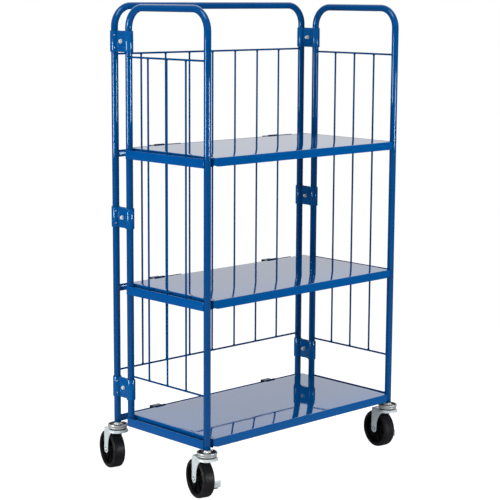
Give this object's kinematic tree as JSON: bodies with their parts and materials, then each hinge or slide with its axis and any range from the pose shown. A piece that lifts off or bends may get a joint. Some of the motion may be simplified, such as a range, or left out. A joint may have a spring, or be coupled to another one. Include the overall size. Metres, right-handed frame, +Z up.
{
  "type": "roll cage container",
  "caption": "Tall open-front roll cage with tubular blue frames, wire side and back panels, fold-up tray shelves and swivel casters.",
  "frame": {"origin": "on the floor, under the centre of the bounding box", "axes": "+Z up, open front towards -Y, wider dimension along X"},
  "size_m": [0.9366, 0.57, 1.5081],
  "materials": {
    "frame_paint": "glossy blue powder coat",
    "wire_paint": "glossy blue powder coat",
    "rail_paint": "glossy blue powder coat",
    "shelf_paint": "very glossy blue powder coat",
    "clamp_paint": "glossy blue powder coat",
    "pin_paint": "blue powder coat",
    "zinc": "bright zinc plate",
    "head_zinc": "bright zinc plate",
    "bolt_zinc": "bright zinc plate",
    "lever_zinc": "bright zinc plate",
    "wheel_black": "satin black"
  },
  "bodies": {
    "back_frame": {"back_tube": "frame_paint", "back_wire_panel": "wire_paint", "back_rail_bottom": "rail_paint", "back_rail_middle": "rail_paint", "back_rail_top": "rail_paint", "clamp_outer_lower_left": "clamp_paint", "clamp_inner_lower_left": "clamp_paint", "clamp_bolt_lower_left": "zinc", "clamp_outer_middle_left": "clamp_paint", "clamp_inner_middle_left": "clamp_paint", "clamp_bolt_middle_left": "zinc", "clamp_outer_upper_left": "clamp_paint", "clamp_inner_upper_left": "clamp_paint", "clamp_bolt_upper_left": "zinc", "clamp_outer_lower_right": "clamp_paint", "clamp_inner_lower_right": "clamp_paint", "clamp_bolt_lower_right": "zinc", "clamp_outer_middle_right": "clamp_paint", "clamp_inner_middle_right": "clamp_paint", "clamp_bolt_middle_right": "zinc", "clamp_outer_upper_right": "clamp_paint", "clamp_inner_upper_right": "clamp_paint", "clamp_bolt_upper_right": "zinc", "caster_head_rear_left": "head_zinc", "caster_head_rear_right": "head_zinc"},
    "side_frame_left": {"side_tube_left": "frame_paint", "side_wire_panel_left": "wire_paint", "side_rail_bottom_left": "rail_paint", "side_rail_middle_left": "rail_paint", "side_rail_top_left": "rail_paint", "caster_head_front_left": "head_zinc"},
    "side_frame_right": {"side_tube_right": "frame_paint", "side_wire_panel_right": "wire_paint", "side_rail_bottom_right": "rail_paint", "side_rail_middle_right": "rail_paint", "side_rail_top_right": "rail_paint", "caster_head_front_right": "head_zinc"},
    "bottom_shelf": {"shelf_bottom": "shelf_paint", "hinge_pin_bottom_left": "pin_paint", "hinge_pin_bottom_right": "pin_paint"},
    "middle_shelf": {"shelf_middle": "shelf_paint", "hinge_pin_middle_left": "pin_paint", "hinge_pin_middle_right": "pin_paint"},
    "top_shelf": {"shelf_top": "shelf_paint", "hinge_pin_top_left": "pin_paint", "hinge_pin_top_right": "pin_paint"},
    "swivel_front_left": {"caster_fork_front_left": "zinc", "wheel_axle_front_left": "bolt_zinc"},
    "wheel_front_left": {"wheel_front_left": "wheel_black"},
    "swivel_front_right": {"caster_fork_front_right": "zinc", "wheel_axle_front_right": "bolt_zinc"},
    "wheel_front_right": {"wheel_front_right": "wheel_black"},
    "swivel_rear_left": {"caster_fork_rear_left": "zinc", "wheel_axle_rear_left": "bolt_zinc"},
    "wheel_rear_left": {"wheel_rear_left": "wheel_black"},
    "swivel_rear_right": {"caster_fork_rear_right": "zinc", "wheel_axle_rear_right": "bolt_zinc"},
    "wheel_rear_right": {"wheel_rear_right": "wheel_black"},
    "brake_front_left": {"brake_lever_front_left": "lever_zinc"},
    "brake_front_right": {"brake_lever_front_right": "lever_zinc"}
  },
  "joints": [
    {"name": "side_hinge_left", "type": "hinge", "parent": "back_frame", "child": "side_frame_left", "pos_m": [-0.43663, 0.10869, 0.836], "axis": [0, 0, -1], "range_deg": [0, 90]},
    {"name": "side_hinge_right", "type": "hinge", "parent": "back_frame", "child": "side_frame_right", "pos_m": [0.39637, 0.10869, 0.836], "axis": [0, 0, 1], "range_deg": [0, 90]},
    {"name": "shelf_hinge_bottom", "type": "hinge", "parent": "back_frame", "child": "bottom_shelf", "pos_m": [-0.02013, 0.14319, 0.1941], "axis": [-1, 0, 0], "range_deg": [0, 94]},
    {"name": "shelf_hinge_middle", "type": "hinge", "parent": "back_frame", "child": "middle_shelf", "pos_m": [-0.02013, 0.14319, 0.6241], "axis": [-1, 0, 0], "range_deg": [0, 94]},
    {"name": "shelf_hinge_top", "type": "hinge", "parent": "back_frame", "child": "top_shelf", "pos_m": [-0.02013, 0.14319, 1.0551], "axis": [-1, 0, 0], "range_deg": [0, 92.5]},
    {"name": "swivel_turn_front_left", "type": "hinge", "parent": "side_frame_left", "child": "swivel_front_left", "pos_m": [-0.43663, -0.25331, 0.137], "axis": [0, 0, 1], "continuous": true},
    {"name": "wheel_spin_front_left", "type": "hinge", "parent": "swivel_front_left", "child": "wheel_front_left", "pos_m": [-0.42598, -0.21061, 0.0625], "axis": [0.9703, -0.2419, 0], "continuous": true},
    {"name": "brake_press_front_left", "type": "hinge", "parent": "swivel_front_left", "child": "brake_front_left", "pos_m": [-0.42598, -0.21061, 0.0625], "axis": [0.9703, -0.2419, 0], "range_deg": [0, 20]},
    {"name": "swivel_turn_front_right", "type": "hinge", "parent": "side_frame_right", "child": "swivel_front_right", "pos_m": [0.39637, -0.25331, 0.137], "axis": [0, 0, 1], "continuous": true},
    {"name": "wheel_spin_front_right", "type": "hinge", "parent": "swivel_front_right", "child": "wheel_front_right", "pos_m": [0.40326, -0.20985, 0.0625], "axis": [0.9877, -0.1564, 0], "continuous": true},
    {"name": "brake_press_front_right", "type": "hinge", "parent": "swivel_front_right", "child": "brake_front_right", "pos_m": [0.40326, -0.20985, 0.0625], "axis": [0.9877, -0.1564, 0], "range_deg": [0, 20]},
    {"name": "swivel_turn_rear_left", "type": "hinge", "parent": "back_frame", "child": "swivel_rear_left", "pos_m": [-0.43663, 0.17769, 0.137], "axis": [0, 0, 1], "continuous": true},
    {"name": "wheel_spin_rear_left", "type": "hinge", "parent": "swivel_rear_left", "child": "wheel_rear_left", "pos_m": [-0.42598, 0.22039, 0.0625], "axis": [0.9703, -0.2419, 0], "continuous": true},
    {"name": "swivel_turn_rear_right", "type": "hinge", "parent": "back_frame", "child": "swivel_rear_right", "pos_m": [0.39637, 0.17769, 0.137], "axis": [0, 0, 1], "continuous": true},
    {"name": "wheel_spin_rear_right", "type": "hinge", "parent": "swivel_rear_right", "child": "wheel_rear_right", "pos_m": [0.40401, 0.22103, 0.0625], "axis": [0.9848, -0.1736, 0], "continuous": true}
  ]
}
